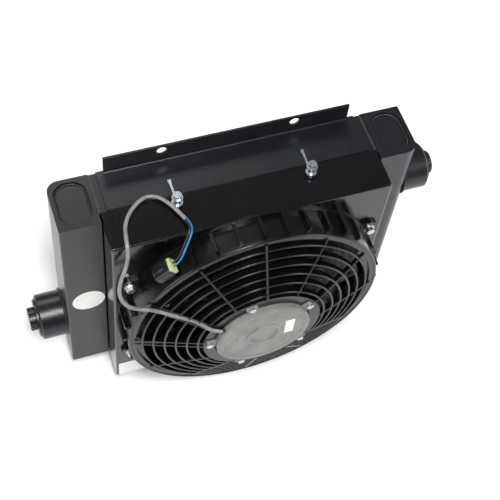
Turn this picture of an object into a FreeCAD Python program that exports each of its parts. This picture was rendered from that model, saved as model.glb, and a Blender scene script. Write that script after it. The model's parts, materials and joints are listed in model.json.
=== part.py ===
import FreeCAD, Part
import math
import os

# Hydraulic oil cooler: a bar-and-plate core between two end tanks, with a sheet shroud and an axial
# fan on its front. Millimetres, +X along the core, +Y to the rear, +Z up. The origin is the centre
# of the four mounting holes, on the rear face of the mounting flanges.

V = FreeCAD.Vector

# ---- overall sizes ----
overall_length = 430.0
tank_height = 308.0
tank_width = 48.0
tank_depth = 68.0
core_depth = 54.0

# ---- tanks ----
tank_wall = 5.0
tank_corner_radius = 14.0
tank_edge_radius = 2.5
cavity_radius = 17.0
end_plate_thickness = 7.0
end_plate_recess = 3.0
weld_gap = 0.05
edge_tolerance = 0.01
tank_window_margin = 2.0
port_wall_overlap = 2.0
left_port_height = -80.0
right_port_height = 70.0
port_boss_radius = 29.0
port_boss_length = 33.0
port_boss_chamfer = 2.0
port_thread_radius = 19.5

# ---- transport plugs ----
plug_clearance = 0.3
plug_depth = 14.0
plug_wall = 2.5
plug_flange_radius = 24.0
plug_flange_thickness = 2.5
plug_grip_radius = 14.0
plug_grip_length = 9.0

# ---- core ----
header_thickness = 3.0
side_bar_thickness = 12.0
tube_count = 18
tube_height = 5.0
tube_wall = 0.9
tube_side_margin = 3.0
fin_pitch = 12.0
fin_sheet = 0.4
fin_crest = 2.5
fin_end_gap = 0.5
fin_face_setback = 1.0
turbulator_pitch = 24.0
turbulator_side_gap = 1.0

# ---- mounting flanges ----
sheet_thickness = 2.5
leg_length = 314.0
flange_length = 296.0
flange_height = 25.0
flange_hole_radius = 6.0
flange_hole_spacing = 160.0
flange_hole_rise = 16.5
leg_front_setback = 1.0

# ---- shroud ----
shroud_sheet = 1.5
shroud_side_gap = 1.0
shroud_front = 52.0
shroud_bend = 3.0
rail_reach = 18.0
rail_leg = 12.0
rail_length = 220.0
shroud_bolt_radius = 3.0
shroud_bolt_spacing = 160.0
shroud_bolt_setback = 10.2
bolt_hole_clearance = 0.3
bolt_flange_radius = 6.5
bolt_flange_thickness = 1.6
bolt_head_radius = 5.2
bolt_head_height = 5.0
nut_height = 5.0
nut_radius = 5.7
shroud_bolt_tail = 3.0
fan_bolt_tail = 2.0
clip_thickness = 1.2
clip_tail = 32.0
clip_pad_radius = 6.5
clip_neck_width = 2.6
clip_tip_width = 4.6
clip_tip_length = 7.0
clip_spacer_radius = 4.6
clip_spacer_height = 8.0

# ---- fan housing ----
fan_drop = 4.0
duct_radius = 143.5
duct_wall = 2.5
duct_spigot = 8.0
opening_clearance = 1.5
skirt_radius = 158.0
skirt_wall = 3.0
skirt_depth = 30.0
housing_flange_radius = 164.0
housing_flange_thickness = 3.0
gusset_step = 10
gusset_width = 4.0
gusset_front_rise = 5.0
gusset_front_gap = 2.0
gusset_flange_inset = 1.0
ear_x = 148.0
ear_z = 80.0
ear_radius = 11.0
ear_thickness = 4.0

# ---- fan guard ----
guard_rim_thickness = 3.5
guard_rim_width = 11.5
guard_ring_pitch = 12.5
guard_ring_count = 6
guard_ring_width = 2.4
guard_ring_depth = 7.0
guard_rise = 27.5
guard_hub_outer = 74.0
guard_hub_depth = 7.0
rib_count = 12
rib_width = 2.8
rib_depth = 8.0
channel_width = 10.0
channel_wall = 1.6
channel_angles = (150, 180)
notch_width = 18.0

# ---- motor ----
cap_radius = 59.0
cap_face = 4.0
cap_rim_wall = 3.0
cap_rim_depth = 7.0
cap_proud = 6.0
cap_tab_count = 5
cap_tab_start = 34.0
cap_tab_width = 14.0
cap_tab_reach = 71.0
cap_tab_thickness = 2.5
can_clearance = 0.2
can_wall = 2.3
can_depth = 50.0
hub_ring_clearance = 1.5
bearing_outer = 11.0
bearing_width = 7.0
bearing_seat_wall = 2.5
shaft_radius = 4.0
running_clearance = 0.03
magnet_thickness = 5.5
magnet_span = 70.0
magnet_count = 4
air_gap = 1.0
armature_radius = 47.0
armature_length = 14.0
armature_slots = 12
winding_inner = 17.0
winding_outer = 42.0
winding_thickness = 3.0
commutator_radius = 12.0
commutator_length = 9.0
brush_gap = 0.3
brush_length = 13.0
brush_width = 8.0
brush_height = 6.0
brush_card_thickness = 2.0
brush_box_wall = 1.5
brush_card_gap = 3.0
magnet_overhang = 2.0
slot_half_width = 3.0
slot_floor_radius = 23.0
winding_gap = 1.0
shaft_floor_clearance = 2.0
shaft_end_gap = 0.5
screw_radius = 2.0
screw_head_radius = 3.8
screw_head_height = 2.6
screw_drive_depth = 1.3
screw_end_gap = 1.0

# ---- impeller ----
hub_outer = 63.0
hub_wall = 2.8
hub_depth = 28.0
hub_web = 3.0
hub_boss_radius = 11.0
hub_boss_depth = 12.0
can_to_hub_gap = 4.0
blade_count = 9
blade_thickness = 2.4
tip_clearance = 2.4
root_chord, root_pitch, root_lean = 40.0, 33.0, 0.0
middle_chord, middle_pitch, middle_lean = 50.0, 25.0, 5.0
tip_chord, tip_pitch, tip_lean = 58.0, 19.0, 14.0
impeller_nut_radius = 7.0
impeller_nut_height = 4.0

# ---- lead, wires and connector ----
sleeve_radius = 2.3
wire_radius = 1.1
outlet_radius = 2.9
connector_angle = 131.5
connector_length = 24.0
connector_height = 14.0
connector_depth = 18.0
connector_shift = 5.0
connector_clip_thickness = 3.0
seal_length = 4.0
seal_margin = 1.3
connector_edge_radius = 2.0
clip_bed = 2.0

# ---- stickers ----
sticker_thickness = 0.2
sticker_radius = 20.0
sticker_rise = -7.0
sticker_shift = 3.0
shroud_label_width = 44.0
shroud_label_height = 30.0
shroud_label_gap = 0.5
motor_label_left = 24.0
motor_label_width = 17.0
motor_label_height = 44.0
motor_label_rise = 5.0

# ---- places worked out from the sizes above ----
tank_outer_x = overall_length / 2
tank_inner_x = tank_outer_x - tank_width
half_height = tank_height / 2
port_axis_y = -tank_depth / 2
header_inner_x = tank_inner_x - header_thickness
leg_outer_z = half_height + 0.5
leg_inner_z = leg_outer_z - sheet_thickness
bar_inner_z = leg_inner_z - side_bar_thickness
fin_height = (2 * bar_inner_z - tube_count * tube_height) / (tube_count + 1)
shroud_half_width = tank_inner_x - shroud_side_gap
shroud_front_y = -core_depth - shroud_front
fan_z = -fan_drop
skirt_front_y = shroud_front_y - skirt_depth
rim_front_y = skirt_front_y - guard_rim_thickness
rim_ring_radius = skirt_radius - skirt_wall
hub_front_y = rim_front_y - guard_rise
cap_front_y = hub_front_y - cap_proud
can_outer = cap_radius - cap_rim_wall - can_clearance
can_front_y = cap_front_y + cap_face
can_rear_y = can_front_y + can_depth
hub_rear_y = can_rear_y + can_to_hub_gap + hub_boss_depth
bolt_y = -core_depth - shroud_bolt_setback
bolt_seat_z = leg_outer_z + clip_thickness + clip_spacer_height
rail_outer_z = leg_outer_z - shroud_sheet
SIDES = ((-1, "left"), (1, "right"))
PORT_HEIGHTS = {"left": left_port_height, "right": right_port_height}


# ---- helpers ----
# A cutting tool runs 1 mm past the face that it cuts.
def block(x0, x1, y0, y1, z0, z1):
    corner = V(min(x0, x1), min(y0, y1), min(z0, z1))
    return Part.makeBox(abs(x1 - x0), abs(y1 - y0), abs(z1 - z0), corner)


def rod_y(x, z, y0, y1, radius):
    return Part.makeCylinder(radius, abs(y1 - y0), V(x, min(y0, y1), z), V(0, 1, 0))


def rod_z(x, y, z0, z1, radius):
    return Part.makeCylinder(radius, abs(z1 - z0), V(x, y, min(z0, z1)), V(0, 0, 1))


def rod_x(y, z, x0, x1, radius):
    return Part.makeCylinder(radius, abs(x1 - x0), V(min(x0, x1), y, z), V(1, 0, 0))


def ring_y(y0, y1, inner, outer):
    return rod_y(0, fan_z, y0, y1, outer).cut(rod_y(0, fan_z, min(y0, y1) - 1, max(y0, y1) + 1, inner))


def prism(points, direction):
    wire = Part.makePolygon([V(*p) for p in points] + [V(*points[0])])
    return Part.Face(wire).extrude(V(*direction))


def turned(outline):
    """Solid of revolution about the fan axis from (radius, y) points."""
    points = [V(radius, y, fan_z) for radius, y in outline]
    face = Part.Face(Part.makePolygon(points + [points[0]]))
    return face.revolve(V(0, 0, fan_z), V(0, 1, 0), 360)


def about_fan(shape, degrees):
    """A copy turned about the fan axis, where 0 points to +X and 90 to +Z."""
    copy = shape.copy()
    copy.rotate(V(0, 0, fan_z), V(0, 1, 0), -degrees)
    return copy


def mirrored_z(shape):
    return shape.mirror(V(0, 0, 0), V(0, 0, 1))


def hexagon_z(x, y, z0, z1, radius):
    corners = [(x + radius * math.cos(math.radians(60 * k)), y + radius * math.sin(math.radians(60 * k)), z0)
               for k in range(6)]
    return prism(corners, (0, 0, z1 - z0))


def hexagon_y(x, z, y0, y1, radius):
    corners = [(x + radius * math.cos(math.radians(60 * k)), y0, z + radius * math.sin(math.radians(60 * k)))
               for k in range(6)]
    return prism(corners, (0, y1 - y0, 0))


def fused(shapes):
    return shapes[0].multiFuse(shapes[1:]).removeSplitter() if len(shapes) > 1 else shapes[0]


def save(name, shape):
    os.makedirs("parts", exist_ok=True)
    shape.exportStep("parts/%s.step" % name)


def save_group(name, shapes):
    save(name, Part.makeCompound(shapes))


# ---- tanks, end plates, port bosses and plugs ----
def upright_edges(shape, x, y):
    """The edge of a straight prism that stands at (x, y)."""
    found = []
    for edge in shape.Edges:
        box = edge.BoundBox
        stands = box.ZLength > box.XLength + box.YLength
        if stands and abs(box.XMin - x) < edge_tolerance and abs(box.YMin - y) < edge_tolerance:
            found.append(edge)
    return found


def tank_outline(side, z0, height):
    """Tank section: one large outer corner and one tight one, as the same extrusion turned end for end."""
    outer_x = side * tank_outer_x
    large_y = 0 if side < 0 else -tank_depth
    tight_y = -tank_depth - large_y
    body = block(side * tank_inner_x, outer_x, -tank_depth, 0, z0, z0 + height)
    body = body.makeFillet(tank_corner_radius, upright_edges(body, outer_x, large_y))
    return body.makeFillet(tank_edge_radius, upright_edges(body, outer_x, tight_y))


def cavity(side, z0, z1, shrink):
    x0 = side * (tank_inner_x + tank_wall + shrink)
    x1 = side * (tank_outer_x - tank_wall - shrink)
    hollow = block(x0, x1, -tank_depth + tank_wall + shrink, -tank_wall - shrink, z0, z1)
    upright = [e for e in hollow.Edges if abs(e.Vertexes[0].Z - e.Vertexes[-1].Z) > 0.5 * abs(z1 - z0)]
    return hollow.makeFillet(cavity_radius - shrink, upright)


def make_tanks():
    for side, name in SIDES:
        shell = tank_outline(side, -half_height, tank_height)
        shell = shell.cut(cavity(side, -half_height - 1, half_height + 1, 0))
        window = block(side * (tank_inner_x - 1), side * (tank_inner_x + tank_wall + 1),
                       -core_depth + tube_side_margin, -tube_side_margin - tank_wall,
                       -bar_inner_z + tank_window_margin, bar_inner_z - tank_window_margin)
        port_z = PORT_HEIGHTS[name]
        port_hole = rod_x(port_axis_y, port_z, side * (tank_outer_x - tank_wall - port_wall_overlap),
                          side * (tank_outer_x + 1), port_thread_radius)
        save(name + "_tank", shell.cut(window).cut(port_hole))
        make_port(side, name, port_z)
    plates = []
    for side, name in SIDES:
        low = half_height - end_plate_recess - end_plate_thickness
        plate = cavity(side, low, low + end_plate_thickness, weld_gap)
        plates += [plate, mirrored_z(plate)]
    save_group("tank_end_plates", plates)


def make_port(side, name, z):
    face_x = side * (tank_outer_x + port_boss_length)
    boss = rod_x(port_axis_y, z, side * tank_outer_x, face_x, port_boss_radius)
    rim = [e for e in boss.Edges if abs(e.BoundBox.XMax - face_x) < edge_tolerance
           and abs(e.BoundBox.XMin - face_x) < edge_tolerance]
    boss = boss.makeChamfer(port_boss_chamfer, rim)
    bore = rod_x(port_axis_y, z, side * (tank_outer_x - 1), face_x + side, port_thread_radius)
    save(name + "_port_boss", boss.cut(bore))

    plug_radius = port_thread_radius - plug_clearance
    body = rod_x(port_axis_y, z, face_x - side * plug_depth, face_x, plug_radius)
    hollow = rod_x(port_axis_y, z, face_x - side * (plug_depth + 1), face_x - side * plug_wall,
                   plug_radius - plug_wall)
    flange = rod_x(port_axis_y, z, face_x, face_x + side * plug_flange_thickness, plug_flange_radius)
    grip_end = face_x + side * (plug_flange_thickness + plug_grip_length)
    grip = rod_x(port_axis_y, z, face_x, grip_end, plug_grip_radius)
    save(name + "_port_plug", fused([body.cut(hollow), flange, grip]))


# ---- core ----
def wave_strip(x0, x1, pitch, low, high, sheet, crest, y0, y1):
    """Corrugated strip: flat crests on both sides joined by slanted walls."""
    count = int((x1 - x0) / pitch)
    step = (x1 - x0) / count
    upper = []
    lower = []
    for k in range(count):
        start = x0 + k * step
        half = start + step / 2
        knees = ((start, low), (start + crest, low), (half, high), (half + crest, high))
        for x, z in knees:
            top_side = z if z == high else low + sheet
            under_side = z if z == low else high - sheet
            upper.append((x, y0, top_side))
            lower.append((x, y0, under_side))
    return prism(upper + lower[::-1], (0, y1 - y0, 0))


def tube_levels():
    first = -bar_inner_z + fin_height
    return [first + k * (fin_height + tube_height) for k in range(tube_count)]


def make_core():
    rear = -tube_side_margin
    front = -core_depth + tube_side_margin
    tubes = []
    turbulators = []
    headers = []
    for low in tube_levels():
        outer = block(-tank_inner_x, tank_inner_x, front, rear, low, low + tube_height)
        inner = block(-tank_inner_x - 1, tank_inner_x + 1, front + tube_wall, rear - tube_wall,
                      low + tube_wall, low + tube_height - tube_wall)
        tubes.append(outer.cut(inner))
        turbulators.append(wave_strip(-header_inner_x, header_inner_x, turbulator_pitch, low + tube_wall,
                                      low + tube_height - tube_wall, fin_sheet, fin_crest,
                                      front + tube_wall + turbulator_side_gap,
                                      rear - tube_wall - turbulator_side_gap))
    save_group("oil_tubes", tubes)
    save_group("oil_turbulators", turbulators)

    fins = []
    fin_lows = [-bar_inner_z] + [low + tube_height for low in tube_levels()]
    for low in fin_lows:
        fins.append(wave_strip(-header_inner_x + fin_end_gap, header_inner_x - fin_end_gap, fin_pitch, low,
                               low + fin_height, fin_sheet, fin_crest, -core_depth + fin_face_setback,
                               -fin_face_setback))
    save_group("air_fins", fins)

    for side, _ in SIDES:
        plate = block(side * header_inner_x, side * tank_inner_x, -core_depth, 0, -leg_inner_z, leg_inner_z)
        slots = [block(side * (header_inner_x - 1), side * (tank_inner_x + 1), front, rear, low,
                       low + tube_height) for low in tube_levels()]
        headers.append(plate.cut(Part.makeCompound(slots)))
    save_group("header_plates", headers)

    bar = block(-header_inner_x, header_inner_x, -core_depth, 0, bar_inner_z, leg_inner_z)
    save("upper_side_bar", bar)
    save("lower_side_bar", mirrored_z(bar))


# ---- mounting flanges ----
def make_flanges():
    leg = block(-leg_length / 2, leg_length / 2, -core_depth + leg_front_setback, 0, leg_inner_z, leg_outer_z)
    flange_top = leg_outer_z + flange_height
    upright = block(-flange_length / 2, flange_length / 2, -sheet_thickness, 0, leg_inner_z, flange_top)
    sheet = leg.fuse(upright).removeSplitter()
    fold = [e for e in sheet.Edges if abs(e.BoundBox.YMin + sheet_thickness) < 0.01
            and abs(e.BoundBox.YMax + sheet_thickness) < 0.01
            and abs(e.BoundBox.ZMin - leg_outer_z) < 0.01 and abs(e.BoundBox.ZMax - leg_outer_z) < 0.01]
    sheet = sheet.makeFillet(sheet_thickness, fold)
    for side in (-1, 1):
        sheet = sheet.cut(rod_y(side * flange_hole_spacing / 2, leg_outer_z + flange_hole_rise,
                                -sheet_thickness - 1, 1, flange_hole_radius))
    save("upper_mounting_flange", sheet)
    save("lower_mounting_flange", mirrored_z(sheet))


# ---- shroud and its fixings ----
def bolt_places():
    return [side * shroud_bolt_spacing / 2 for side in (-1, 1)]


def front_bends(shape, front_y):
    """Edges of a shroud box that are bent: the four round the front and the four that run back."""
    bends = []
    for edge in shape.Edges:
        box = edge.BoundBox
        runs_back = box.YLength > shroud_front / 2
        on_front = box.YLength < 0.01 and abs(box.YMin - front_y) < 0.01
        if runs_back or on_front:
            bends.append(edge)
    return bends


def make_shroud():
    outer = block(-shroud_half_width, shroud_half_width, shroud_front_y, -core_depth, -leg_outer_z,
                  leg_outer_z)
    outer = outer.makeFillet(shroud_bend, front_bends(outer, shroud_front_y))
    inner_half = shroud_half_width - shroud_sheet
    inner_front = shroud_front_y + shroud_sheet
    inner = block(-inner_half, inner_half, inner_front, -core_depth + 1, -rail_outer_z, rail_outer_z)
    inner = inner.makeFillet(shroud_bend - shroud_sheet, front_bends(inner, inner_front))
    shell = outer.cut(inner)
    shell = shell.cut(rod_y(0, fan_z, shroud_front_y - 1, inner_front + 1,
                            duct_radius + duct_wall + opening_clearance))
    hole = shroud_bolt_radius + bolt_hole_clearance
    for x in bolt_places():
        shell = shell.cut(rod_z(x, bolt_y, -leg_outer_z - 1, leg_outer_z + 1, hole))
    for x, z in ear_places():
        shell = shell.cut(rod_y(x, z, shroud_front_y - 1, inner_front + 1, hole))
    save("fan_shroud", shell)


def make_clip(x, hole):
    """Round pad and spacer under a bolt head, with a narrow tail that runs back over the top sheet."""
    neck = clip_neck_width / 2
    tip = clip_tip_width / 2
    tail_end = bolt_y + clip_tail
    tip_start = tail_end - clip_tip_length
    tail = prism([(x - neck, bolt_y, leg_outer_z), (x + neck, bolt_y, leg_outer_z),
                  (x + neck, tip_start, leg_outer_z), (x + tip, tail_end, leg_outer_z),
                  (x - tip, tail_end, leg_outer_z), (x - neck, tip_start, leg_outer_z)],
                 (0, 0, clip_thickness))
    pad = rod_z(x, bolt_y, leg_outer_z, leg_outer_z + clip_thickness, clip_pad_radius)
    spacer = rod_z(x, bolt_y, leg_outer_z, bolt_seat_z, clip_spacer_radius)
    return fused([tail, pad, spacer]).cut(rod_z(x, bolt_y, leg_outer_z - 1, bolt_seat_z + 1, hole))


def make_shroud_fixings():
    hole = shroud_bolt_radius + bolt_hole_clearance
    rail = block(-rail_length / 2, rail_length / 2, -core_depth - rail_reach, -core_depth,
                 rail_outer_z - sheet_thickness, rail_outer_z)
    lip_y = -core_depth - rail_reach
    rail = rail.fuse(block(-rail_length / 2, rail_length / 2, lip_y, lip_y + sheet_thickness,
                           rail_outer_z - rail_leg, rail_outer_z)).removeSplitter()
    bolts = []
    nuts = []
    clips = []
    nut_top = rail_outer_z - sheet_thickness
    for x in bolt_places():
        rail = rail.cut(rod_z(x, bolt_y, nut_top - 1, rail_outer_z + 1, hole))
        shank = rod_z(x, bolt_y, nut_top - nut_height - shroud_bolt_tail, bolt_seat_z, shroud_bolt_radius)
        washer_face = rod_z(x, bolt_y, bolt_seat_z, bolt_seat_z + bolt_flange_thickness, bolt_flange_radius)
        head = hexagon_z(x, bolt_y, bolt_seat_z, bolt_seat_z + bolt_flange_thickness + bolt_head_height,
                         bolt_head_radius)
        bolts.append(fused([shank, washer_face, head]))
        nut = hexagon_z(x, bolt_y, nut_top - nut_height, nut_top, nut_radius)
        nuts.append(nut.cut(rod_z(x, bolt_y, nut_top - nut_height - 1, nut_top + 1,
                                  shroud_bolt_radius + weld_gap)))
        clips.append(make_clip(x, hole))
    save_group("shroud_rails", [rail, mirrored_z(rail)])
    save_group("shroud_bolts", bolts + [mirrored_z(bolt) for bolt in bolts])
    save_group("shroud_nuts", nuts + [mirrored_z(nut) for nut in nuts])
    save_group("shroud_clips", clips + [mirrored_z(clip) for clip in clips])


# ---- fan housing, guard and their bolts ----
def ear_places():
    return [(sx * ear_x, fan_z + sz * ear_z) for sx in (-1, 1) for sz in (-1, 1)]


def make_fan_housing():
    duct_outer = duct_radius + duct_wall
    web_rear_y = skirt_front_y + skirt_wall
    flange_front_y = shroud_front_y - housing_flange_thickness
    body = turned([(duct_radius, shroud_front_y + duct_spigot), (duct_outer, shroud_front_y + duct_spigot),
                   (duct_outer, web_rear_y), (rim_ring_radius, web_rear_y),
                   (rim_ring_radius, shroud_front_y), (housing_flange_radius, shroud_front_y),
                   (housing_flange_radius, flange_front_y), (skirt_radius, flange_front_y),
                   (skirt_radius, skirt_front_y), (duct_radius, skirt_front_y)])
    pieces = [body]
    ear_angle = math.degrees(math.atan2(ear_z, ear_x))
    for angle in range(0, 360, gusset_step):
        folded = min(angle % 180, 180 - angle % 180)
        near_ear = abs(folded - ear_angle) < gusset_step / 2
        near_connector = abs(angle - connector_angle) < gusset_step
        if near_ear or near_connector:
            continue
        inner = skirt_radius - skirt_wall / 2
        front = skirt_front_y + gusset_front_gap
        side = fan_z - gusset_width / 2
        outer = housing_flange_radius - gusset_flange_inset
        gusset = prism([(inner, flange_front_y + 1, side), (outer, flange_front_y + 1, side),
                        (skirt_radius + gusset_front_rise, front, side), (inner, front, side)],
                       (0, 0, gusset_width))
        pieces.append(about_fan(gusset, angle))
    for x, z in ear_places():
        pieces.append(rod_y(x, z, shroud_front_y - ear_thickness, shroud_front_y, ear_radius))
        inner = math.copysign(abs(x) - ear_radius, x)
        low = z - ear_radius
        tongue = block(inner, x, shroud_front_y - ear_thickness, shroud_front_y, low, low + 2 * ear_radius)
        pieces.append(tongue.cut(rod_y(0, fan_z, shroud_front_y - ear_thickness - 1, shroud_front_y + 1,
                                       rim_ring_radius)))
    housing = fused(pieces)
    for x, z in ear_places():
        housing = housing.cut(rod_y(x, z, shroud_front_y - ear_thickness - 1, shroud_front_y + 1,
                                    shroud_bolt_radius + bolt_hole_clearance))
    save("fan_housing", housing)


def make_ear_bolts():
    bolts = []
    nuts = []
    seat_y = shroud_front_y - ear_thickness
    nut_y = shroud_front_y + shroud_sheet
    for x, z in ear_places():
        shank = rod_y(x, z, seat_y, nut_y + nut_height + fan_bolt_tail, shroud_bolt_radius)
        washer_face = rod_y(x, z, seat_y - bolt_flange_thickness, seat_y, bolt_flange_radius)
        head = hexagon_y(x, z, seat_y, seat_y - bolt_flange_thickness - bolt_head_height, bolt_head_radius)
        bolts.append(fused([shank, washer_face, head]))
        nut = hexagon_y(x, z, nut_y, nut_y + nut_height, nut_radius)
        nuts.append(nut.cut(rod_y(x, z, nut_y - 1, nut_y + nut_height + 1, shroud_bolt_radius + weld_gap)))
    save_group("fan_bolts", bolts)
    save_group("fan_nuts", nuts)


def guard_front_y(radius):
    """Front surface of the guard: a shallow cone from the rim up to the motor ring."""
    share = (rim_ring_radius - radius) / (rim_ring_radius - guard_hub_outer)
    return rim_front_y - guard_rise * max(0.0, min(1.0, share))


def guard_hub_inner():
    return cap_radius + hub_ring_clearance


def guard_rib(width):
    inner = (guard_hub_inner() + guard_hub_outer) / 2
    outer = rim_ring_radius - guard_rim_width / 3
    side = fan_z - width / 2
    return prism([(inner, hub_front_y, side), (guard_hub_outer, guard_front_y(guard_hub_outer), side),
                  (outer, guard_front_y(outer), side),
                  (outer, guard_front_y(outer) + guard_rim_thickness, side),
                  (guard_hub_outer, guard_front_y(guard_hub_outer) + rib_depth, side),
                  (inner, hub_front_y + guard_hub_depth, side)], (0, 0, width))


def guard_channel_groove():
    """The lead's groove along the front of a channel rib, open at both ends."""
    half = channel_width / 2 - channel_wall
    inner = guard_hub_outer
    outer = skirt_radius + 1
    depth = rib_depth - channel_wall
    rim_drop = guard_front_y(outer) + guard_rim_thickness - channel_wall
    return prism([(inner, guard_front_y(inner) - 1, fan_z - half),
                  (outer, guard_front_y(outer) - 1, fan_z - half),
                  (outer, rim_drop, fan_z - half), (inner, guard_front_y(inner) + depth, fan_z - half)],
                 (0, 0, 2 * half))


def guard_lead_notch():
    """Wider gap in the rim where the lead turns out of its channel."""
    return block(rim_ring_radius - guard_rim_width / 2 - 2, skirt_radius + 1, rim_front_y - guard_ring_depth,
                 skirt_front_y - channel_wall, fan_z - notch_width / 2, fan_z + notch_width / 2)


def make_guard():
    rim_inner = rim_ring_radius - guard_rim_width / 2
    pieces = [ring_y(rim_front_y, skirt_front_y, rim_inner, skirt_radius)]
    pieces.append(ring_y(hub_front_y, hub_front_y + guard_hub_depth, guard_hub_inner(), guard_hub_outer))
    for k in range(1, guard_ring_count + 1):
        radius = rim_ring_radius - k * guard_ring_pitch
        half = guard_ring_width / 2
        front = guard_front_y(radius)
        rear = front + guard_ring_depth
        pieces.append(turned([(radius - half, front), (radius + half, front), (radius + half, rear),
                              (radius - half, rear)]))
    for k in range(rib_count):
        angle = 360 / rib_count * k
        width = channel_width if angle in channel_angles else rib_width
        pieces.append(about_fan(guard_rib(width), angle))
    guard = fused(pieces)
    for angle in channel_angles:
        guard = guard.cut(about_fan(guard_channel_groove(), angle))
    guard = guard.cut(about_fan(guard_lead_notch(), channel_angles[0]))
    for angle in cap_tab_angles():
        screw_hole = rod_y(screw_circle(), fan_z, hub_front_y - 1, hub_front_y + guard_hub_depth + 1,
                           screw_radius + weld_gap)
        guard = guard.cut(about_fan(screw_hole, angle))
    save("fan_guard", guard)


# ---- motor ----
def cap_tab_angles():
    return [cap_tab_start + 360 / cap_tab_count * k for k in range(cap_tab_count)]


def screw_circle():
    return (guard_hub_inner() + guard_hub_outer) / 2


def make_motor_shell():
    rim_rear_y = cap_front_y + cap_face + cap_rim_depth
    face = rod_y(0, fan_z, cap_front_y, cap_front_y + cap_face, cap_radius)
    rim = ring_y(cap_front_y, rim_rear_y, cap_radius - cap_rim_wall, cap_radius)
    seat_outer = bearing_outer + bearing_seat_wall
    seat = ring_y(can_front_y - 1, can_front_y + bearing_width + 1, bearing_outer, seat_outer)
    tabs = []
    tab_front_y = hub_front_y - cap_tab_thickness
    for angle in cap_tab_angles():
        tab = block(cap_radius - 1, cap_tab_reach, tab_front_y, hub_front_y, fan_z - cap_tab_width / 2,
                    fan_z + cap_tab_width / 2)
        tab = tab.cut(rod_y(screw_circle(), fan_z, tab_front_y - 1, hub_front_y + 1, screw_radius + weld_gap))
        tabs.append(about_fan(tab, angle))
    save("motor_end_cap", fused([face, rim, seat] + tabs))

    can = ring_y(can_front_y, can_rear_y, can_outer - can_wall, can_outer)
    floor = ring_y(can_rear_y - can_wall, can_rear_y, shaft_radius + shaft_floor_clearance,
                   can_outer - can_wall / 2)
    rear_seat = ring_y(can_rear_y - can_wall - bearing_width, can_rear_y - can_wall / 2, bearing_outer,
                       seat_outer)
    save("motor_can", fused([can, floor, rear_seat]))

    screws = []
    for angle in cap_tab_angles():
        shank = rod_y(screw_circle(), fan_z, tab_front_y, hub_front_y + guard_hub_depth - screw_end_gap,
                      screw_radius)
        head = rod_y(screw_circle(), fan_z, tab_front_y - screw_head_height, tab_front_y, screw_head_radius)
        drive = rod_y(screw_circle(), fan_z, tab_front_y - screw_head_height - 1,
                      tab_front_y - screw_drive_depth, screw_radius / 2)
        screws.append(about_fan(shank.fuse(head).cut(drive), angle))
    save_group("motor_screws", screws)


def make_motor_inside():
    shaft_hole = shaft_radius + running_clearance
    bearing_ring = bearing_outer - weld_gap
    save("front_bearing", ring_y(can_front_y, can_front_y + bearing_width, shaft_hole, bearing_ring))
    rear_bearing_end = can_rear_y - can_wall
    save("rear_bearing", ring_y(rear_bearing_end - bearing_width, rear_bearing_end, shaft_hole, bearing_ring))

    armature_rear = rear_bearing_end - bearing_width - winding_thickness - winding_gap
    armature_front = armature_rear - armature_length
    magnet_outer = can_outer - can_wall - weld_gap
    magnets = []
    for k in range(magnet_count):
        sector = Part.makeCylinder(magnet_outer, armature_length + 2 * magnet_overhang,
                                   V(0, armature_front - magnet_overhang, fan_z), V(0, 1, 0), magnet_span)
        bore = rod_y(0, fan_z, armature_front - magnet_overhang - 1, armature_rear + magnet_overhang + 1,
                     magnet_outer - magnet_thickness)
        magnets.append(about_fan(sector.cut(bore), 360 / magnet_count * k))
    save_group("magnets", magnets)

    core = ring_y(armature_front, armature_rear, shaft_radius, armature_radius)
    slots = []
    for k in range(armature_slots):
        slot = block(slot_floor_radius, armature_radius + 1, armature_front - 1, armature_rear + 1,
                     fan_z - slot_half_width, fan_z + slot_half_width)
        slots.append(about_fan(slot, 360 / armature_slots * k))
    save("armature_core", core.cut(Part.makeCompound(slots)))
    save_group("windings", [
        ring_y(armature_front - winding_thickness, armature_front, winding_inner, winding_outer),
        ring_y(armature_rear, armature_rear + winding_thickness, winding_inner, winding_outer)])

    commutator_rear = armature_front - winding_thickness - winding_gap
    commutator_front = commutator_rear - commutator_length
    save("commutator", ring_y(commutator_front, commutator_rear, shaft_radius, commutator_radius))

    low_y = commutator_front + brush_card_thickness
    card_hole = commutator_radius + brush_card_gap
    card = ring_y(commutator_front, low_y, card_hole, can_outer - can_wall - weld_gap)
    brushes = []
    for side in (-1, 1):
        near = side * (commutator_radius + brush_gap)
        far = side * (commutator_radius + brush_gap + brush_length)
        brushes.append(block(near, far, low_y, low_y + brush_height, fan_z - brush_width / 2,
                             fan_z + brush_width / 2))
        for wall in (-1, 1):
            wall_z = fan_z + wall * brush_width / 2
            card = card.fuse(block(side * card_hole, far, commutator_front, low_y + brush_height, wall_z,
                                   wall_z + wall * brush_box_wall))
    save("brush_card", card.removeSplitter())
    save_group("brushes", brushes)

    save("motor_shaft", rod_y(0, fan_z, can_front_y + shaft_end_gap, hub_rear_y + hub_web, shaft_radius))


# ---- impeller ----
def blade_section(radius, chord, pitch_degrees, lean_degrees, middle_y):
    """Thin plate section in the plane square to the radius, turned to its pitch angle."""
    pitch = math.radians(pitch_degrees)
    corners = []
    for along, across in ((-0.5, -0.5), (0.5, -0.5), (0.5, 0.5), (-0.5, 0.5)):
        u = along * chord
        w = across * blade_thickness
        z = u * math.cos(pitch) - w * math.sin(pitch)
        y = middle_y + u * math.sin(pitch) + w * math.cos(pitch)
        corners.append(V(radius, y, fan_z + z))
    wire = Part.makePolygon(corners + [corners[0]])
    wire.rotate(V(0, 0, fan_z), V(0, 1, 0), -lean_degrees)
    return wire


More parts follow.
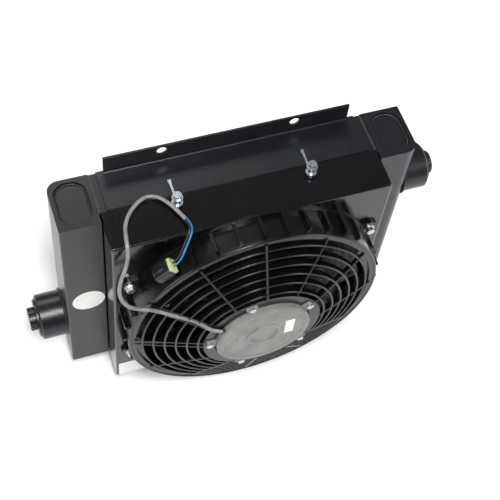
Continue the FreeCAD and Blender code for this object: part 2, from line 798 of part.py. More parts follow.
def make_impeller():
    hub_front = hub_rear_y - hub_depth
    cup = ring_y(hub_front, hub_rear_y, hub_outer - hub_wall, hub_outer)
    web = ring_y(hub_rear_y - hub_web, hub_rear_y, shaft_radius, hub_outer - hub_wall / 2)
    boss = ring_y(hub_rear_y - hub_boss_depth, hub_rear_y - hub_web / 2, shaft_radius, hub_boss_radius)
    middle_y = (hub_front + hub_rear_y) / 2
    tip = math.sqrt((duct_radius - tip_clearance) ** 2 - (tip_chord / 2) ** 2)
    middle = (hub_outer + tip) / 2
    pieces = [cup, web, boss]
    sections = [blade_section(hub_outer - hub_wall / 2, root_chord, root_pitch, root_lean, middle_y),
                blade_section(middle, middle_chord, middle_pitch, middle_lean, middle_y),
                blade_section(tip, tip_chord, tip_pitch, tip_lean, middle_y)]
    blade = Part.makeLoft(sections, True, True)
    for k in range(blade_count):
        pieces.append(about_fan(blade, 360 / blade_count * k))
    save("impeller", fused(pieces))
    nut_end = hub_rear_y + impeller_nut_height
    nut = hexagon_y(0, fan_z, hub_rear_y, nut_end, impeller_nut_radius)
    save("impeller_nut", nut.cut(rod_y(0, fan_z, hub_rear_y - 1, nut_end + 1, shaft_radius)))


# ---- lead sleeve, wires, connector ----
SLEEVE_ROUTE = [
    (-53.7, -170.0, 27.0),
    (-66.7, -170.0, 34.5),
    (-79.7, -158.0, 42.0),
    (-103.9, -151.3, 56.0),
    (-129.5, -143.6, 70.8),
    (-143.5, -139.5, 72.5),
    (-155.0, -136.2, 76.0),
    (-162.5, -130.8, 85.0),
    (-164.5, -125.5, 98.0),
    (-160.5, -120.5, 113.0),
    (-154.5, -117.0, 128.0),
    (-152.0, -116.5, 141.0),
    (-151.0, -116.8, 152.0),
    (-150.0, -112.5, 159.8),
    (-149.0, -104.5, 164.0),
    (-147.5, -95.0, 163.5),
    (-144.0, -80.0, 159.8),
    (-136.0, -66.5, 158.2),
    (-125.0, -55.5, 158.0),
    (-111.5, -49.0, 158.2),
    (-99.0, -53.5, 158.8),
    (-90.5, -65.0, 159.8),
    (-84.0, -78.0, 160.6),
    (-78.5, -91.5, 160.8),
]
BLUE_ROUTE = [
    (-77.4, -91.1, 160.8),
    (-74.6, -98.2, 161.0),
    (-75.6, -107.3, 160.2),
    (-81.5, -115.3, 155.3),
    (-88.6, -122.4, 147.4),
    (-94.6, -127.8, 136.9),
    (-102.0, -128.2, 130.0),
]
BLACK_ROUTE = [
    (-79.5, -92.1, 160.8),
    (-76.9, -98.6, 161.0),
    (-78.6, -106.2, 159.6),
    (-83.4, -112.6, 154.4),
    (-89.6, -118.2, 146.4),
    (-94.6, -123.4, 136.9),
    (-102.0, -123.8, 130.0),
]


def rounded_path(name, route):
    """Straight runs joined by tangent arcs, each as large as its two runs allow."""
    points = [V(*p) for p in route]
    edges = []
    radii = []
    start = points[0]
    for before, corner, after in zip(points, points[1:], points[2:]):
        into = (corner - before).normalize()
        out = (after - corner).normalize()
        half_turn = into.getAngle(out) / 2
        trim = 0.45 * min(corner.distanceToPoint(before), corner.distanceToPoint(after))
        radius = trim / math.tan(half_turn)
        radii.append(radius)
        inward = (out - into).normalize()
        first = corner - into * trim
        last = corner + out * trim
        middle = corner + inward * (radius / math.cos(half_turn) - radius)
        edges.append(Part.LineSegment(start, first).toShape())
        edges.append(Part.Arc(first, middle, last).toShape())
        start = last
    edges.append(Part.LineSegment(start, points[-1]).toShape())
    length = sum(edge.Length for edge in edges)
    print("%s: length %.1f mm, radii %s" % (name, length, " ".join("%.1f" % r for r in radii)))
    return Part.Wire(edges), length


def tube(name, route, radius):
    path, length = rounded_path(name, route)
    along = V(*route[1]) - V(*route[0])
    section = Part.Wire(Part.makeCircle(radius, V(*route[0]), along))
    solid = path.makePipeShell([section], True, True)
    expected = math.pi * radius ** 2 * length
    print("%s: volume %.1f, section times length %.1f" % (name, solid.Volume, expected))
    return solid


def placed_on_skirt(shape):
    """From a local frame (X along the skirt, Y as the part, Z outwards) to the connector's place."""
    shape.rotate(V(0, 0, 0), V(0, 1, 0), -(connector_angle - 90))
    radius = skirt_radius
    angle = math.radians(connector_angle)
    shape.translate(V(radius * math.cos(angle), 0, fan_z + radius * math.sin(angle)))
    return shape


def make_lead():
    save("lead_sleeve", tube("lead_sleeve", SLEEVE_ROUTE, sleeve_radius))
    save("blue_wire", tube("blue_wire", BLUE_ROUTE, wire_radius))
    save("black_wire", tube("black_wire", BLACK_ROUTE, wire_radius))

    start = V(*SLEEVE_ROUTE[0])
    along = (V(*SLEEVE_ROUTE[1]) - start).normalize()
    length = math.hypot(start.x, start.z - fan_z) - cap_radius
    save("motor_lead_outlet", Part.makeCylinder(outlet_radius, length, start - along * length, along))


def make_connector():
    middle_y = (shroud_front_y + skirt_front_y) / 2 - connector_shift
    y0 = middle_y - connector_depth / 2
    y1 = middle_y + connector_depth / 2
    low = connector_clip_thickness
    half = connector_length / 2
    body = block(-half, half - seal_length, y0, y1, low, low + connector_height)
    rounded = [e for e in body.Edges if e.BoundBox.XLength > half]
    body = body.makeFillet(connector_edge_radius, rounded)
    save("connector_body", placed_on_skirt(body))
    seal = block(half - seal_length, half, y0 + seal_margin, y1 - seal_margin, low + seal_margin,
                 low + connector_height - seal_margin)
    save("connector_seal", placed_on_skirt(seal))
    clip = block(-half / 2, half / 2, y0, y1, -clip_bed, low)
    clip = placed_on_skirt(clip).cut(rod_y(0, fan_z, y0 - 1, y1 + 1, skirt_radius))
    save("connector_clip", clip)


# ---- blank stickers ----
def make_stickers():
    face_y = -tank_depth
    x = -(tank_inner_x + tank_outer_x) / 2 + sticker_shift
    save("tank_sticker", rod_y(x, sticker_rise, face_y - sticker_thickness, face_y, sticker_radius))
    face_y = shroud_front_y
    left = -shroud_half_width + shroud_bend
    low = -leg_outer_z + shroud_bend
    label = block(left, left + shroud_label_width, face_y - sticker_thickness, face_y, low,
                  low + shroud_label_height)
    label = label.cut(rod_y(0, fan_z, face_y - 1, face_y + 1, housing_flange_radius + shroud_label_gap))
    save("shroud_label", label)
    low = fan_z + motor_label_rise - motor_label_height / 2
    save("motor_label", block(motor_label_left, motor_label_left + motor_label_width,
                              cap_front_y - sticker_thickness, cap_front_y, low, low + motor_label_height))


def main():
    make_tanks()
    make_core()
    make_flanges()
    make_shroud()
    make_shroud_fixings()
    make_fan_housing()
    make_ear_bolts()
    make_guard()
    make_motor_shell()
    make_motor_inside()
    make_impeller()
    make_lead()
    make_connector()
    make_stickers()


main()
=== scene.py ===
import json
import math

import bmesh
import bpy
from mathutils import Matrix, Quaternion, Vector


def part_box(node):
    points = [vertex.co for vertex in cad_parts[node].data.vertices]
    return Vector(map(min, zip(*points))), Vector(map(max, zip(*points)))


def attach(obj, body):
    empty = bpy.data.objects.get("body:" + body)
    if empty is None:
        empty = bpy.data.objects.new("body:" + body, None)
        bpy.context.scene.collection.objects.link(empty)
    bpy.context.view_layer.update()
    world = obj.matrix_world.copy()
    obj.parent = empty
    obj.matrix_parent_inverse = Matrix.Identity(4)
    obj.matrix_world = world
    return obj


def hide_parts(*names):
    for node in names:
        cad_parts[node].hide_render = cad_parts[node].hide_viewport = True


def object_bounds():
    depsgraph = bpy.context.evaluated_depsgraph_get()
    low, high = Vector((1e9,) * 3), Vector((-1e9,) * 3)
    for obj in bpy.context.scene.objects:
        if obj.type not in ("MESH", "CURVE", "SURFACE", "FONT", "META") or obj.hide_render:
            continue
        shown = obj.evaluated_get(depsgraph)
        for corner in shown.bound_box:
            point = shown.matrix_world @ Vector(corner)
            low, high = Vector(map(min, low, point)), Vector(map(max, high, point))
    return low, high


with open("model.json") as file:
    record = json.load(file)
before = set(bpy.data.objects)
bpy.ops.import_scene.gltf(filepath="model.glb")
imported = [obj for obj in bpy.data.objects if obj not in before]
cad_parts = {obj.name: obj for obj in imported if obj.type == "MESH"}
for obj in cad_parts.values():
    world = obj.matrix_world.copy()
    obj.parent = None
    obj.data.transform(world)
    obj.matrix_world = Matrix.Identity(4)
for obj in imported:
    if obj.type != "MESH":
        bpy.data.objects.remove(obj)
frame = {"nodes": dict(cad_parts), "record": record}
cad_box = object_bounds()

# Looks of a hydraulic oil cooler with an axial fan on its front, in metres.
# +X runs along the core, +Y to the rear, +Z up, and the origin is the centre of the mounting holes.

SCENE = bpy.context.scene
COOLER = "cooler"

# ---- camera and light ----
CAMERA_PLACE = Vector((-0.3120, -0.7367, 1.1980))
CAMERA_AIM = Vector((0.0104, -0.0800, 0.0396))
CAMERA_ROLL = math.radians(8.75)
CAMERA_LENS = 81.5
SENSOR_WIDTH = 36.0
CAMERA_REACH = 50.0
FLOOR_REACH = 9.0
FLOOR_GAP = 0.0005
SKY_COLOUR = (0.93, 0.95, 0.97, 1.0)
SKY_STRENGTH = 0.2
FLOOR_WHITE = (0.88, 0.88, 0.88)
FLOOR_ACCENT = (0.9, 0.9, 0.9)
FLOOR_ROUGHNESS = 0.7
# Each softbox has its place, width, height and power.
SOFTBOXES = {
    "key_light": ((-0.17, -0.95, 1.9), 0.3, 0.7, 44.0),
    "side_light": ((-1.6, -0.3, 0.8), 0.8, 0.8, 18.0),
    "fill_light": ((1.5, -0.9, 0.9), 0.8, 0.8, 22.0),
    "rim_light": ((-0.2, 1.5, 1.6), 1.6, 0.6, 18.0),
}

# ---- cord routes, the same points as the part's own ----
SLEEVE_DIAMETER = 0.0046
WIRE_DIAMETER = 0.0022
SLEEVE_ROUTE = [
    (-0.0537, -0.1700, 0.0270),
    (-0.0667, -0.1700, 0.0345),
    (-0.0797, -0.1580, 0.0420),
    (-0.1039, -0.1513, 0.0560),
    (-0.1295, -0.1436, 0.0708),
    (-0.1435, -0.1395, 0.0725),
    (-0.1550, -0.1362, 0.0760),
    (-0.1625, -0.1308, 0.0850),
    (-0.1645, -0.1255, 0.0980),
    (-0.1605, -0.1205, 0.1130),
    (-0.1545, -0.1170, 0.1280),
    (-0.1520, -0.1165, 0.1410),
    (-0.1510, -0.1168, 0.1520),
    (-0.1500, -0.1125, 0.1598),
    (-0.1490, -0.1045, 0.1640),
    (-0.1475, -0.0950, 0.1635),
    (-0.1440, -0.0800, 0.1598),
    (-0.1360, -0.0665, 0.1582),
    (-0.1250, -0.0555, 0.1580),
    (-0.1115, -0.0490, 0.1582),
    (-0.0990, -0.0535, 0.1588),
    (-0.0905, -0.0650, 0.1598),
    (-0.0840, -0.0780, 0.1606),
    (-0.0785, -0.0915, 0.1608),
]
BLUE_ROUTE = [
    (-0.0774, -0.0911, 0.1608),
    (-0.0746, -0.0982, 0.1610),
    (-0.0756, -0.1073, 0.1602),
    (-0.0815, -0.1153, 0.1553),
    (-0.0886, -0.1224, 0.1474),
    (-0.0946, -0.1278, 0.1369),
    (-0.1020, -0.1282, 0.1300),
]
BLACK_ROUTE = [
    (-0.0795, -0.0921, 0.1608),
    (-0.0769, -0.0986, 0.1610),
    (-0.0786, -0.1062, 0.1596),
    (-0.0834, -0.1126, 0.1544),
    (-0.0896, -0.1182, 0.1464),
    (-0.0946, -0.1234, 0.1369),
    (-0.1020, -0.1238, 0.1300),
]

# ---- sizes of what is added to the frame ----
FIN_ROWS = 19
FIN_PITCH = 0.004
FIN_CREST = 0.0008
FIN_SHEET = 0.00018
FIN_STRIPS = 3
TUBE_HEIGHT = 0.005
WELD_RADIUS = 0.0017
BOSS_WELD_RADIUS = 0.0024
SEAM_WELD_RADIUS = 0.0016
WELD_STEP = 0.0008
WELD_RIPPLE = 0.0032
WELD_SIDES = 10
END_PLATE_CORNER = 0.017
GRIP_RADIUS = 0.014
GRIP_RIBS = 18
GRIP_RIB_START = 0.0006
GRIP_RIB_END = 0.0086
GRIP_RIB_HALF = 0.0008
GRIP_RIB_ROOT = 0.0008
GRIP_RIB_RISE = 0.0009
CONNECTOR_ANGLE = math.radians(131.5)
SKIRT_RADIUS = 0.158
CONNECTOR_HALF_WIDTH = 0.009
LATCH_TOP = 0.017
LATCH_ROOT = 0.0005
FLUTE_COUNT = 3
FLUTE_START = -0.006
FLUTE_PITCH = 0.005
FLUTE_WIDTH = 0.0018
FLUTE_LOW = 0.005
FLUTE_HIGH = 0.0155
FLUTE_ROOT = 0.0004
FLUTE_RISE = 0.0006
GUARD_RISE = 0.0275
GUARD_RING_COUNT = 6
GUARD_RING_PITCH = 0.0125
GUARD_RING_CROWN = 0.00135
CROWN_SIDES = 12
GUARD_HUB_RADIUS = 0.074
GUARD_RIM_RADIUS = 0.155
GUARD_RIB_CROWN = 0.0016
GUARD_RIM_CROWN = 0.0021
GUARD_RIM_OUTER = 0.1562
CHANNEL_RIBS = (150, 180)
RIB_STEP = 30
RIB_END_GAP = 0.004
RIM_GAP = 5
LABEL_SHARE = 0.68
CAP_SEAT = 0.0005
# Each raised ring of the cap has its inner foot, inner top, outer top and outer foot radius, and its rise.
CAP_RINGS = {
    "cap_hub_ring": (0.0168, 0.0180, 0.0208, 0.0222, 0.0017),
    "cap_rim_step": (0.0512, 0.0522, 0.0552, 0.0565, 0.0009),
}
CAP_SHOULDER_SHARE = 0.3
STAKE_PLACES = ((-0.042, 0.025), (-0.033, -0.001), (-0.017, -0.025))
STAKE_REACH = 0.0016
STAKE_RISE = 0.0007


# ---- materials ----
NOISE_LOW = 0.32
NOISE_HIGH = 0.68
DRIFT_DETAIL = 5.0
GRAIN_DETAIL = 3.0
EDGE_SAMPLES = 4


def add_noise(tree, place, scale, detail, stretch):
    mapping = tree.nodes.new("ShaderNodeMapping")
    mapping.inputs["Scale"].default_value = stretch
    noise = tree.nodes.new("ShaderNodeTexNoise")
    noise.inputs["Scale"].default_value = scale
    noise.inputs["Detail"].default_value = detail
    tree.links.new(place.outputs["Object"], mapping.inputs["Vector"])
    tree.links.new(mapping.outputs["Vector"], noise.inputs["Vector"])
    return noise.outputs[0]


def add_range(tree, value, low, high):
    """Spreads the middle of a noise over low to high."""
    spread = tree.nodes.new("ShaderNodeMapRange")
    spread.inputs["From Min"].default_value = NOISE_LOW
    spread.inputs["From Max"].default_value = NOISE_HIGH
    spread.inputs["To Min"].default_value = low
    spread.inputs["To Max"].default_value = high
    tree.links.new(value, spread.inputs["Value"])
    return spread.outputs["Result"]


def make_finish(name, colour, accent, roughness, spread=0.07, metallic=0.0, specular=0.5, blotch=28.0,
                grain=1500.0, relief=0.00005, edge=0.0004, stretch=(1.0, 1.0, 1.0)):
    """A finish whose colour drifts towards an accent, with varied roughness and a fine relief."""
    material = bpy.data.materials.new(name)
    material.use_nodes = True
    tree = material.node_tree
    shader = tree.nodes["Principled BSDF"]
    shader.inputs["Metallic"].default_value = metallic
    shader.inputs["Specular IOR Level"].default_value = specular
    place = tree.nodes.new("ShaderNodeTexCoord")
    drift = add_noise(tree, place, blotch, DRIFT_DETAIL, stretch)
    fine = add_noise(tree, place, grain, GRAIN_DETAIL, stretch)
    blend = tree.nodes.new("ShaderNodeMix")
    blend.data_type = "RGBA"
    blend.inputs[6].default_value = (*colour, 1.0)
    blend.inputs[7].default_value = (*accent, 1.0)
    tree.links.new(add_range(tree, drift, 0.0, 1.0), blend.inputs[0])
    tree.links.new(blend.outputs[2], shader.inputs["Base Color"])
    tree.links.new(add_range(tree, fine, roughness - spread, roughness + spread), shader.inputs["Roughness"])
    bevel = tree.nodes.new("ShaderNodeBevel")
    bevel.samples = EDGE_SAMPLES
    bevel.inputs["Radius"].default_value = edge
    bump = tree.nodes.new("ShaderNodeBump")
    bump.inputs["Distance"].default_value = relief
    tree.links.new(fine, bump.inputs["Height"])
    tree.links.new(bevel.outputs["Normal"], bump.inputs["Normal"])
    tree.links.new(bump.outputs["Normal"], shader.inputs["Normal"])
    return material


LOOKS = {
    "satin_black": dict(colour=(0.0044, 0.0052, 0.0068), accent=(0.0074, 0.0083, 0.0102), roughness=0.32,
                        specular=0.38, grain=1100.0, relief=0.00007, edge=0.0006),
    "gloss_black": dict(colour=(0.0015, 0.0015, 0.0017), accent=(0.003, 0.003, 0.0034), roughness=0.14,
                        spread=0.04, grain=420.0, relief=0.00003, edge=0.0005),
    "core_black": dict(colour=(0.016, 0.0165, 0.018), accent=(0.03, 0.031, 0.033), roughness=0.55,
                       grain=900.0, relief=0.00008),
    "bare_aluminium": dict(colour=(0.6, 0.61, 0.62), accent=(0.5, 0.51, 0.53), roughness=0.34,
                           metallic=1.0),
    "zinc": dict(colour=(0.42, 0.48, 0.52), accent=(0.56, 0.6, 0.62), roughness=0.3, spread=0.1,
                 metallic=1.0, blotch=160.0, grain=2400.0, relief=0.00003, edge=0.0005),
    "fan_plastic": dict(colour=(0.0016, 0.0016, 0.0015), accent=(0.0032, 0.0032, 0.003), roughness=0.22,
                        specular=0.4, grain=2600.0, relief=0.00005, edge=0.0005),
    "cap_grey": dict(colour=(0.15, 0.145, 0.136), accent=(0.205, 0.199, 0.188), roughness=0.45,
                     metallic=0.2, blotch=60.0, grain=1900.0, relief=0.00008, edge=0.0008),
    "motor_black": dict(colour=(0.012, 0.012, 0.013), accent=(0.02, 0.02, 0.021), roughness=0.4),
    "steel": dict(colour=(0.5, 0.51, 0.53), accent=(0.42, 0.43, 0.45), roughness=0.26, metallic=1.0,
                  stretch=(1.0, 0.08, 1.0)),
    "lamination": dict(colour=(0.22, 0.22, 0.23), accent=(0.3, 0.3, 0.31), roughness=0.5, metallic=0.8,
                       stretch=(0.05, 1.0, 0.05)),
    "copper": dict(colour=(0.6, 0.27, 0.12), accent=(0.5, 0.2, 0.08), roughness=0.32, metallic=1.0,
                   stretch=(0.2, 1.0, 0.2)),
    "magnet": dict(colour=(0.07, 0.07, 0.075), accent=(0.1, 0.1, 0.1), roughness=0.6),
    "carbon": dict(colour=(0.03, 0.03, 0.03), accent=(0.05, 0.05, 0.05), roughness=0.7),
    "card_plastic": dict(colour=(0.12, 0.05, 0.02), accent=(0.16, 0.07, 0.03), roughness=0.5),
    "plug_plastic": dict(colour=(0.004, 0.004, 0.004), accent=(0.008, 0.008, 0.008), roughness=0.34,
                         grain=2200.0, relief=0.00006, edge=0.0004),
    "sleeve_grey": dict(colour=(0.12, 0.12, 0.117), accent=(0.19, 0.19, 0.185), roughness=0.26, blotch=90.0,
                        grain=1600.0, relief=0.00012, edge=0.0001),
    "wire_blue": dict(colour=(0.006, 0.09, 0.27), accent=(0.014, 0.15, 0.37), roughness=0.24, blotch=120.0,
                      edge=0.0001),
    "wire_black": dict(colour=(0.006, 0.006, 0.006), accent=(0.012, 0.012, 0.012), roughness=0.3,
                       blotch=120.0, edge=0.0001),
    "seal_green": dict(colour=(0.3, 0.4, 0.16), accent=(0.42, 0.5, 0.25), roughness=0.45, edge=0.0003),
    "sticker_white": dict(colour=(0.72, 0.71, 0.66), accent=(0.8, 0.79, 0.75), roughness=0.45, blotch=70.0,
                          grain=3000.0, relief=0.00002, edge=0.0001),
}
FINISHES = {name: make_finish(name, **look) for name, look in LOOKS.items()}


def paint_frame():
    """Every carried-over node takes the finish of its slot in the record."""
    for subpart in frame["record"]["subparts"]:
        node = frame["nodes"][subpart["node"]]
        finish = FINISHES[subpart["material_slot"]]
        if not node.material_slots:
            node.data.materials.append(finish)
        for place in node.material_slots:
            place.material = finish


# ---- camera, light and floor ----
def make_camera():
    camera = bpy.data.objects.new("camera", bpy.data.cameras.new("camera"))
    camera.data.lens = CAMERA_LENS
    camera.data.sensor_width = SENSOR_WIDTH
    camera.data.clip_end = CAMERA_REACH
    camera.location = CAMERA_PLACE
    camera.rotation_mode = "QUATERNION"
    level = (CAMERA_AIM - CAMERA_PLACE).to_track_quat("-Z", "Y")
    camera.rotation_quaternion = level @ Quaternion((0.0, 0.0, 1.0), CAMERA_ROLL)
    SCENE.collection.objects.link(camera)
    SCENE.camera = camera


def make_softbox(name, place, width, height, power):
    light = bpy.data.lights.new(name, "AREA")
    light.shape = "RECTANGLE"
    light.size = width
    light.size_y = height
    light.energy = power
    lamp = bpy.data.objects.new(name, light)
    lamp.location = place
    lamp.rotation_mode = "QUATERNION"
    lamp.rotation_quaternion = (-Vector(place)).to_track_quat("-Z", "Y")
    SCENE.collection.objects.link(lamp)


def make_studio():
    world = bpy.data.worlds.new("studio")
    world.use_nodes = True
    sky = world.node_tree.nodes["Background"]
    sky.inputs["Color"].default_value = SKY_COLOUR
    sky.inputs["Strength"].default_value = SKY_STRENGTH
    SCENE.world = world
    SCENE.view_settings.view_transform = "Standard"
    for name, (place, width, height, power) in SOFTBOXES.items():
        make_softbox(name, place, width, height, power)

    low = cad_box[0].z - FLOOR_GAP
    corners = [(sx * FLOOR_REACH, sy * FLOOR_REACH, low) for sx, sy in ((-1, -1), (1, -1), (1, 1), (-1, 1))]
    data = bpy.data.meshes.new("floor")
    data.from_pydata(corners, [], [(0, 1, 2, 3)])
    floor = bpy.data.objects.new("floor", data)
    data.materials.append(make_finish("studio_floor", FLOOR_WHITE, FLOOR_ACCENT, FLOOR_ROUGHNESS,
                                      specular=0.2, blotch=1.5, grain=300.0, relief=0.00002))
    SCENE.collection.objects.link(floor)


# ---- mesh helpers ----
SHARP_ANGLE = 40


def place_piece(piece, slot, body=COOLER):
    SCENE.collection.objects.link(piece)
    piece.data.materials.append(FINISHES[slot])
    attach(piece, body)
    return piece


def mesh_piece(name, vertices, faces, slot, sharp=SHARP_ANGLE):
    data = bpy.data.meshes.new(name)
    data.from_pydata(vertices, [], faces)
    data.update()
    data.shade_smooth()
    data.set_sharp_from_angle(angle=math.radians(sharp))
    return place_piece(bpy.data.objects.new(name, data), slot)


def box_piece(name, boxes, bevel, slot, body=COOLER):
    """Several small bevelled blocks as one piece; each is (low, high, matrix)."""
    whole = bmesh.new()
    for low, high, matrix in boxes:
        low, high = Vector(low), Vector(high)
        made = bmesh.ops.create_cube(whole, size=1.0)["verts"]
        size = Matrix.Diagonal((*(high - low), 1.0))
        bmesh.ops.transform(whole, matrix=matrix @ Matrix.Translation((low + high) / 2) @ size, verts=made)
    bmesh.ops.bevel(whole, geom=list(whole.edges), offset=bevel, segments=2, profile=0.5, affect="EDGES")
    data = bpy.data.meshes.new(name)
    whole.to_mesh(data)
    whole.free()
    data.shade_smooth()
    data.set_sharp_from_angle(angle=math.radians(SHARP_ANGLE))
    return place_piece(bpy.data.objects.new(name, data), slot, body)


def lathe(name, outline, centre, slot, count=144):
    """Closed ring turned about a line along Y through centre, from (radius, y) points."""
    vertices = []
    faces = []
    around = len(outline)
    for k in range(count):
        angle = 2 * math.pi * k / count
        for radius, y in outline:
            vertices.append((centre.x + radius * math.cos(angle), y, centre.z + radius * math.sin(angle)))
    for k in range(count):
        for j in range(around):
            here, there = k * around, (k + 1) % count * around
            nxt = (j + 1) % around
            faces.append((here + j, here + nxt, there + nxt, there + j))
    return mesh_piece(name, vertices, faces, slot)


def evenly(path, closed):
    """The path walked in equal steps of about WELD_STEP, as points and the distance so far."""
    points = list(path) + ([path[0]] if closed else [])
    lengths = [0.0]
    for a, b in zip(points, points[1:]):
        lengths.append(lengths[-1] + (b - a).length)
    count = max(8, round(lengths[-1] / WELD_STEP))
    walked = []
    leg = 0
    for k in range(count if closed else count + 1):
        distance = lengths[-1] * k / count
        while lengths[leg + 1] < distance and leg < len(points) - 2:
            leg += 1
        share = (distance - lengths[leg]) / (lengths[leg + 1] - lengths[leg])
        walked.append((points[leg].lerp(points[leg + 1], share), distance))
    return walked


def weld(name, paths, axis, radius, closed=True, slot="satin_black", lumps=0.14):
    """Beads along paths that turn about an axis, rippled like a weld where lumps is over 0, as one piece."""
    vertices = []
    faces = []
    for path in paths:
        walked = evenly(path, closed)
        count = len(walked)
        base = len(vertices)
        for k, (point, distance) in enumerate(walked):
            before = walked[k - 1 if closed or k else 0][0]
            after = walked[(k + 1) % count if closed or k < count - 1 else k][0]
            side = (after - before).normalized().cross(axis)
            ripple = radius * (1 - lumps + lumps * abs(math.sin(math.pi * distance / WELD_RIPPLE)))
            for j in range(WELD_SIDES):
                turn = 2 * math.pi * j / WELD_SIDES
                vertices.append(point + side * ripple * math.cos(turn) + axis * ripple * math.sin(turn))
        for k in range(count if closed else count - 1):
            here, there = base + k * WELD_SIDES, base + (k + 1) % count * WELD_SIDES
            for j in range(WELD_SIDES):
                nxt = (j + 1) % WELD_SIDES
                faces.append((here + j, there + j, there + nxt, here + nxt))
        if not closed:
            faces.append(tuple(range(base, base + WELD_SIDES)))
            last = base + (count - 1) * WELD_SIDES
            faces.append(tuple(reversed(range(last, last + WELD_SIDES))))
    return mesh_piece(name, vertices, faces, slot, sharp=60)


def circle(centre, across, up, radius, count=72):
    return [centre + across * radius * math.cos(2 * math.pi * k / count)
            + up * radius * math.sin(2 * math.pi * k / count) for k in range(count)]


def rounded_rectangle(x0, x1, y0, y1, z, radius, count=10):
    points = []
    corners = ((x1, y1, 0), (x0, y1, 90), (x0, y0, 180), (x1, y0, 270))
    for x, y, start in corners:
        middle_x = x - math.copysign(radius, x - (x0 + x1) / 2)
        middle_y = y - math.copysign(radius, y - (y0 + y1) / 2)
        middle = Vector((middle_x, middle_y, z))
        for k in range(count + 1):
            angle = math.radians(start + 90 * k / count)
            points.append(middle + Vector((math.cos(angle), math.sin(angle), 0)) * radius)
    return points


# ---- cords ----
def make_cord(name, route, diameter, slot, node):
    data = bpy.data.curves.new(name, "CURVE")
    data.dimensions = "3D"
    spline = data.splines.new("NURBS")
    spline.points.add(len(route) - 1)
    for point, place in zip(spline.points, route):
        point.co = (*place, 1.0)
    spline.order_u = 3
    spline.use_endpoint_u = True
    data.resolution_u = 12
    data.bevel_depth = diameter / 2
    data.bevel_resolution = 6
    data.use_fill_caps = True
    piece = place_piece(bpy.data.objects.new(name, data), slot)
    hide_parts(node)
    return piece


def make_cords():
    sleeve = make_cord("motor_lead", SLEEVE_ROUTE, SLEEVE_DIAMETER, "sleeve_grey", "lead_sleeve")
    blue = make_cord("lead_wire_blue", BLUE_ROUTE, WIRE_DIAMETER, "wire_blue", "blue_wire")
    black = make_cord("lead_wire_black", BLACK_ROUTE, WIRE_DIAMETER, "wire_black", "black_wire")


# ---- core ----
def make_fins():
    """Rows of fine corrugated fins between the tubes, in strips that are offset by half a pitch."""
    low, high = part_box("air_fins")
    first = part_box("lower_side_bar")[1].z
    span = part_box("upper_side_bar")[0].z - first
    height = (span - (FIN_ROWS - 1) * TUBE_HEIGHT) / FIN_ROWS
    depth = (high.y - low.y) / FIN_STRIPS
    count = int((high.x - low.x) / FIN_PITCH) - 1
    start = (low.x + high.x) / 2 - count * FIN_PITCH / 2
    half = FIN_PITCH / 2
    vertices = []
    faces = []
    for row in range(FIN_ROWS):
        floor = first + row * (height + TUBE_HEIGHT) + FIN_SHEET
        top = floor + height - 2 * FIN_SHEET
        for strip in range(FIN_STRIPS):
            near = low.y + strip * depth
            shift = start + (strip % 2) * half - half / 2
            base = len(vertices)
            for k in range(count):
                x = shift + k * FIN_PITCH
                knees = ((x, floor), (x + FIN_CREST, floor), (x + half, top), (x + half + FIN_CREST, top))
                for px, pz in knees:
                    vertices.append((px, near, pz))
                    vertices.append((px, near + depth, pz))
            for k in range(4 * count - 1):
                a = base + 2 * k
                faces.append((a, a + 1, a + 3, a + 2))
    fins = mesh_piece("corrugated_fins", vertices, faces, "core_black", sharp=20)
    sheet = fins.modifiers.new("sheet", "SOLIDIFY")
    sheet.thickness = FIN_SHEET
    sheet.offset = 0.0
    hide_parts("air_fins")


# ---- welds ----
def make_welds():
    up = Vector((0, 0, 1))
    plates_low, plates_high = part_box("tank_end_plates")
    inset = WELD_RADIUS * 0.6
    rims = []
    for name in ("left_tank", "right_tank"):
        tank_low, tank_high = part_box(name)
        side = math.copysign(1, tank_low.x)
        outer = side * plates_high.x
        inner = side * (min(abs(tank_low.x), abs(tank_high.x)) + abs(tank_high.y - plates_high.y))
        x0, x1 = sorted((inner, outer))
        for z in (plates_low.z, plates_high.z):
            rims.append(rounded_rectangle(x0 + inset, x1 - inset, plates_low.y + inset, plates_high.y - inset,
                                          z, END_PLATE_CORNER - inset))
    weld("end_plate_welds", rims, up, WELD_RADIUS)
    for name in ("left", "right"):
        boss_low, boss_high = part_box(name + "_port_boss")
        centre = (boss_low + boss_high) / 2
        side = math.copysign(1, centre.x)
        centre.x = side * min(abs(boss_low.x), abs(boss_high.x))
        radius = (boss_high.z - boss_low.z) / 2
        ring = circle(centre, Vector((0, 1, 0)), up, radius)
        weld(name + "_boss_weld", [ring], Vector((1, 0, 0)), BOSS_WELD_RADIUS)
    head_low, head_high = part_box("header_plates")
    seams = []
    for side in (-1, 1):
        for y in (head_low.y, head_high.y):
            x = side * head_high.x
            seams.append([Vector((x, y, head_low.z)), Vector((x, y, head_high.z))])
    weld("header_welds", seams, Vector((1, 0, 0)), SEAM_WELD_RADIUS, closed=False, slot="core_black")


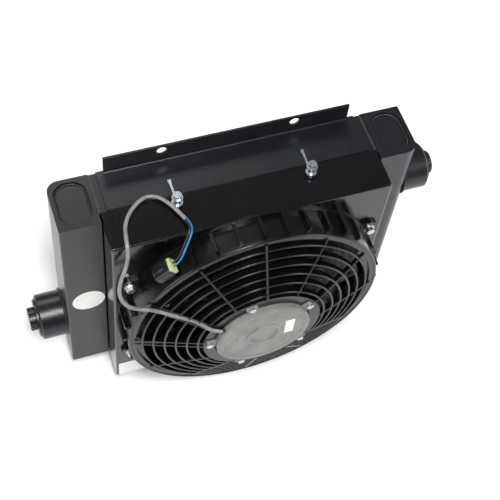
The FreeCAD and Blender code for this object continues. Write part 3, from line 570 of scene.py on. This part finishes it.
# ---- fan guard ----
def make_guard_crowns():
    """Rounded fronts of the guard's rings, ribs and rim."""
    guard_low, guard_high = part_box("fan_guard")
    centre = (guard_low + guard_high) / 2
    rim_front = guard_low.y + GUARD_RISE
    slope = GUARD_RISE / (GUARD_RIM_RADIUS - GUARD_HUB_RADIUS)

    def front(radius):
        return rim_front - slope * (GUARD_RIM_RADIUS - radius)

    for k in range(1, GUARD_RING_COUNT + 1):
        radius = GUARD_RIM_RADIUS - k * GUARD_RING_PITCH
        y = front(radius) + GUARD_RING_CROWN / 2
        section = [(radius + GUARD_RING_CROWN * math.cos(turn), y + GUARD_RING_CROWN * math.sin(turn))
                   for turn in (2 * math.pi * j / CROWN_SIDES for j in range(CROWN_SIDES))]
        lathe("guard_ring_crown_%d" % k, section, centre, "fan_plastic")

    def at(radius, y, degrees):
        angle = math.radians(degrees)
        return Vector((centre.x + radius * math.cos(angle), y, centre.z + radius * math.sin(angle)))

    ribs = []
    for degrees in range(0, 360, RIB_STEP):
        if degrees not in CHANNEL_RIBS:
            inner, outer = GUARD_HUB_RADIUS, GUARD_RIM_RADIUS - RIB_END_GAP
            ribs.append([at(inner, front(inner) + GUARD_RIB_CROWN / 2, degrees),
                         at(outer, front(outer) + GUARD_RIB_CROWN / 2, degrees)])
    weld("guard_rib_crowns", ribs, Vector((0, 1, 0)), GUARD_RIB_CROWN, closed=False, slot="fan_plastic",
         lumps=0.0)
    start = CHANNEL_RIBS[0] + RIM_GAP
    rim = [at(GUARD_RIM_OUTER, rim_front + GUARD_RIM_CROWN / 2, degrees)
           for degrees in range(start, start + 361 - 2 * RIM_GAP, 2)]
    weld("guard_rim_crown", [rim], Vector((0, 1, 0)), GUARD_RIM_CROWN, closed=False, slot="fan_plastic",
         lumps=0.0)


# ---- motor cap ----
def make_cap_details():
    cap_low, cap_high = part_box("motor_can")
    centre = (cap_low + cap_high) / 2
    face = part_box("motor_end_cap")[0].y + CAP_SEAT
    front = face - CAP_SEAT
    for name, (inner, inner_top, outer_top, outer, rise) in CAP_RINGS.items():
        top = front - rise
        shoulder = front - rise * CAP_SHOULDER_SHARE
        section = [(inner, face), (inner, shoulder), (inner_top, top), (outer_top, top), (outer, shoulder),
                   (outer, face)]
        lathe(name, section, centre, "cap_grey")
    marks = []
    for x, z in STAKE_PLACES:
        marks.append(((x - STAKE_REACH, front - STAKE_RISE, z - STAKE_REACH),
                      (x + STAKE_REACH, face, z + STAKE_REACH), Matrix.Identity(4)))
    box_piece("cap_stake_marks", marks, 0.0004, "cap_grey")
    label_low, label_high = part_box("motor_label")
    middle = (label_low + label_high) / 2
    reach = (label_high - label_low) / 2
    corner = Vector((reach.x * LABEL_SHARE, reach.y, reach.z * LABEL_SHARE))
    label = box_piece("motor_label_plate", [(middle - corner, middle + corner, Matrix.Identity(4))], 0.0001,
                      "sticker_white")
    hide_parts("motor_label")


# ---- plugs and connector ----
def make_plug_ribs():
    for name in ("left", "right"):
        low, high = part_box(name + "_port_plug")
        side = math.copysign(1, low.x)
        tip = low.x if side < 0 else high.x
        middle = (low + high) / 2
        boxes = []
        for k in range(GRIP_RIBS):
            rotation = Matrix.Rotation(2 * math.pi * k / GRIP_RIBS, 4, "X")
            turn = Matrix.Translation((0, middle.y, middle.z)) @ rotation
            x0, x1 = sorted((tip - side * GRIP_RIB_END, tip - side * GRIP_RIB_START))
            boxes.append(((x0, -GRIP_RIB_HALF, GRIP_RADIUS - GRIP_RIB_ROOT),
                          (x1, GRIP_RIB_HALF, GRIP_RADIUS + GRIP_RIB_RISE), turn))
        box_piece(name + "_plug_ribs", boxes, 0.0003, "plug_plastic", name + "_plug")


def make_connector_details():
    body_low, body_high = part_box("connector_body")
    y = (body_low.y + body_high.y) / 2
    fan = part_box("fan_housing")
    hub_z = (fan[0].z + fan[1].z) / 2
    across, up = math.cos(CONNECTOR_ANGLE), math.sin(CONNECTOR_ANGLE)
    place = Vector((SKIRT_RADIUS * across, y, hub_z + SKIRT_RADIUS * up))
    turn = Matrix.Translation(place) @ Matrix.Rotation(math.pi / 2 - CONNECTOR_ANGLE, 4, "Y")
    foot = LATCH_TOP - LATCH_ROOT
    boxes = [((-0.0095, -0.003, foot), (0.004, 0.003, LATCH_TOP + 0.0018), turn),
             ((-0.0115, -0.0045, foot), (-0.0085, 0.0045, LATCH_TOP + 0.0028), turn)]
    for side in (-1, 1):
        for k in range(FLUTE_COUNT):
            x = FLUTE_START + FLUTE_PITCH * k
            edge = side * CONNECTOR_HALF_WIDTH
            y0, y1 = sorted((edge - side * FLUTE_ROOT, edge + side * FLUTE_RISE))
            boxes.append(((x, y0, FLUTE_LOW), (x + FLUTE_WIDTH, y1, FLUTE_HIGH), turn))
    box_piece("connector_latch", boxes, 0.0003, "plug_plastic")


make_camera()
paint_frame()
make_cords()
make_studio()
make_fins()
make_welds()
make_guard_crowns()
make_cap_details()
make_plug_ribs()
make_connector_details()
